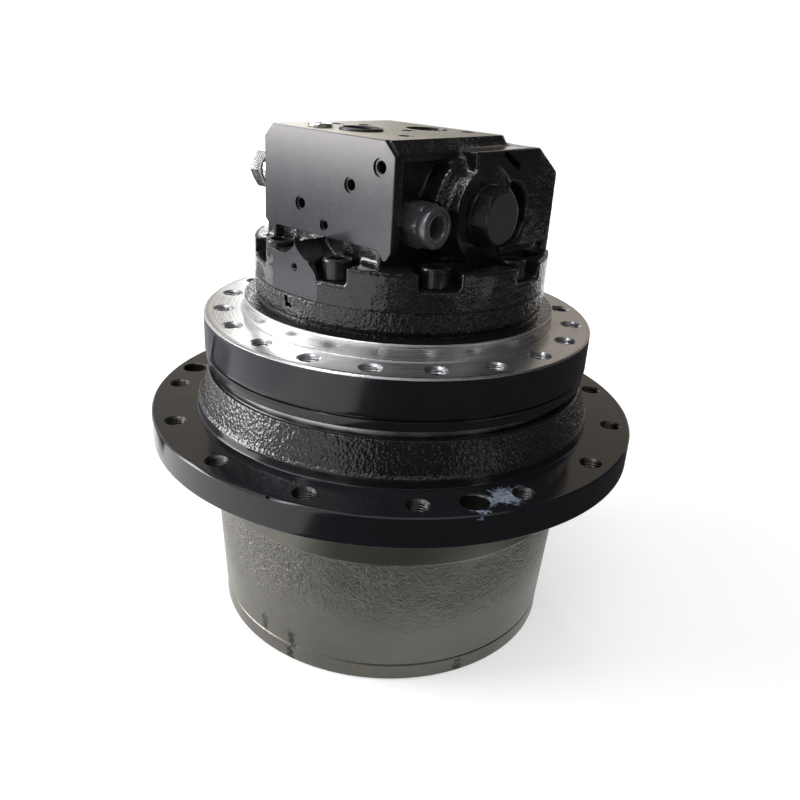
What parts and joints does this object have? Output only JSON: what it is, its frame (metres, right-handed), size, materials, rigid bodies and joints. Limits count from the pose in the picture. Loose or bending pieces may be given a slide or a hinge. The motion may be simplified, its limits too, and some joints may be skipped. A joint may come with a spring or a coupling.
{
  "type": "final drive",
  "caption": "Hydraulic final drive for a tracked machine: axial piston motor, planetary gearbox, sprocket flange, frame flange and port block.",
  "frame": {"origin": "centre of the end cover's outer face, at the bottom of the object's box", "axes": "+Z along the shaft, from the end cover to the port block; -Y is the side nearest the camera"},
  "size_m": [0.4, 0.4, 0.407],
  "materials": {
    "black_paint": "gloss",
    "bare_casting": "semi-gloss",
    "machined_steel": "turned",
    "black_oxide": "black oxide",
    "dark_plating": "dark plating",
    "zinc_plating": "zinc plating",
    "gear_steel": "ground",
    "bronze": "lapped",
    "friction_lining": "sintered"
  },
  "bodies": {
    "fixed_side": {"motor_case": "black_paint", "port_block": "black_paint", "port_block_screw_1": "black_oxide", "port_block_screw_2": "black_oxide", "port_block_screw_3": "black_oxide", "port_block_screw_4": "black_oxide", "port_block_screw_5": "black_oxide", "port_block_screw_6": "black_oxide", "port_block_screw_7": "black_oxide", "port_block_screw_8": "black_oxide", "port_block_screw_9": "black_oxide", "counterbalance_plug": "black_oxide", "counterbalance_back_plug": "black_oxide", "relief_valve_plug": "zinc_plating", "drain_fitting": "dark_plating", "top_port_plug": "zinc_plating", "output_carrier": "gear_steel", "output_planet_pin_1": "gear_steel", "output_planet_pin_2": "gear_steel", "output_planet_pin_3": "gear_steel", "case_seal_ring": "gear_steel", "lower_bearing_inner_ring": "machined_steel", "upper_bearing_inner_ring": "machined_steel", "bearing_nut": "black_oxide", "shaft_front_bearing": "machined_steel", "shaft_rear_bearing": "machined_steel", "valve_plate": "bronze", "brake_steel_plate": "gear_steel"},
    "turning_housing": {"hub": "black_paint", "gear_drum": "bare_casting", "end_cover": "bare_casting", "drum_screw_1": "black_oxide", "drum_screw_2": "black_oxide", "drum_screw_3": "black_oxide", "drum_screw_4": "black_oxide", "drum_screw_5": "black_oxide", "drum_screw_6": "black_oxide", "fill_plug": "black_oxide", "drain_plug": "black_oxide", "hub_seal_ring": "gear_steel", "lower_bearing_outer_ring": "machined_steel", "upper_bearing_outer_ring": "machined_steel"},
    "lower_ball_row": {"lower_bearing_balls": "machined_steel"},
    "upper_ball_row": {"upper_bearing_balls": "machined_steel"},
    "output_planet_1": {"output_planet_gear_1": "gear_steel"},
    "output_planet_2": {"output_planet_gear_2": "gear_steel"},
    "output_planet_3": {"output_planet_gear_3": "gear_steel"},
    "input_stage": {"input_carrier": "gear_steel", "output_sun_gear": "gear_steel"},
    "input_planet_1": {"input_planet_gear_1": "gear_steel"},
    "input_planet_2": {"input_planet_gear_2": "gear_steel"},
    "input_planet_3": {"input_planet_gear_3": "gear_steel"},
    "shaft_line": {"input_sun_gear": "gear_steel", "motor_shaft": "machined_steel", "cylinder_block": "gear_steel", "brake_friction_disc": "friction_lining"},
    "swash": {"swash_plate": "gear_steel"},
    "brake_ram": {"brake_piston": "machined_steel"},
    "spool": {"counterbalance_spool": "machined_steel"}
  },
  "joints": [
    {"name": "housing_spin", "type": "hinge", "parent": "fixed_side", "child": "turning_housing", "pos_m": [0, 0, 0], "axis": [0, 0, 1], "continuous": true},
    {"name": "lower_ball_row_spin", "type": "hinge", "parent": "fixed_side", "child": "lower_ball_row", "pos_m": [0, 0, 0], "axis": [0, 0, 1], "continuous": true},
    {"name": "upper_ball_row_spin", "type": "hinge", "parent": "fixed_side", "child": "upper_ball_row", "pos_m": [0, 0, 0], "axis": [0, 0, 1], "continuous": true},
    {"name": "output_planet_1_spin", "type": "hinge", "parent": "fixed_side", "child": "output_planet_1", "pos_m": [0, 0.07425, 0], "axis": [0, 0, 1], "continuous": true},
    {"name": "output_planet_2_spin", "type": "hinge", "parent": "fixed_side", "child": "output_planet_2", "pos_m": [-0.0643, -0.03712, 0], "axis": [0, 0, 1], "continuous": true},
    {"name": "output_planet_3_spin", "type": "hinge", "parent": "fixed_side", "child": "output_planet_3", "pos_m": [0.0643, -0.03712, 0], "axis": [0, 0, 1], "continuous": true},
    {"name": "input_carrier_spin", "type": "hinge", "parent": "fixed_side", "child": "input_stage", "pos_m": [0, 0, 0], "axis": [0, 0, 1], "continuous": true},
    {"name": "input_planet_1_spin", "type": "hinge", "parent": "input_stage", "child": "input_planet_1", "pos_m": [0, 0.0675, 0], "axis": [0, 0, 1], "continuous": true},
    {"name": "input_planet_2_spin", "type": "hinge", "parent": "input_stage", "child": "input_planet_2", "pos_m": [-0.05846, -0.03375, 0], "axis": [0, 0, 1], "continuous": true},
    {"name": "input_planet_3_spin", "type": "hinge", "parent": "input_stage", "child": "input_planet_3", "pos_m": [0.05846, -0.03375, 0], "axis": [0, 0, 1], "continuous": true},
    {"name": "shaft_spin", "type": "hinge", "parent": "fixed_side", "child": "shaft_line", "pos_m": [0, 0, 0], "axis": [0, 0, 1], "continuous": true},
    {"name": "swash_tilt", "type": "hinge", "parent": "fixed_side", "child": "swash", "pos_m": [0, 0, 0.17754], "axis": [1, 0, 0], "range_deg": [-7, 0]},
    {"name": "brake_release", "type": "slide", "parent": "fixed_side", "child": "brake_ram", "axis": [0, 0, 1], "range_m": [0, 0.003], "stiffness_N_per_m": 20000, "springref_m": -0.001},
    {"name": "spool_shift", "type": "slide", "parent": "fixed_side", "child": "spool", "axis": [0.7604, -0.6494, 0], "range_m": [-0.006, 0.006], "stiffness_N_per_m": 4000}
  ],
  "couplings": [
    {"joint": "lower_ball_row_spin", "follows": "housing_spin", "ratio": 0.53414},
    {"joint": "upper_ball_row_spin", "follows": "housing_spin", "ratio": 0.53414},
    {"joint": "output_planet_1_spin", "follows": "housing_spin", "ratio": 3.2},
    {"joint": "output_planet_2_spin", "follows": "housing_spin", "ratio": 3.2},
    {"joint": "output_planet_3_spin", "follows": "housing_spin", "ratio": 3.2},
    {"joint": "input_carrier_spin", "follows": "housing_spin", "ratio": -2.6667},
    {"joint": "input_planet_1_spin", "follows": "housing_spin", "ratio": 9.7778},
    {"joint": "input_planet_2_spin", "follows": "housing_spin", "ratio": 9.7778},
    {"joint": "input_planet_3_spin", "follows": "housing_spin", "ratio": 9.7778},
    {"joint": "shaft_spin", "follows": "housing_spin", "ratio": -17.333}
  ]
}
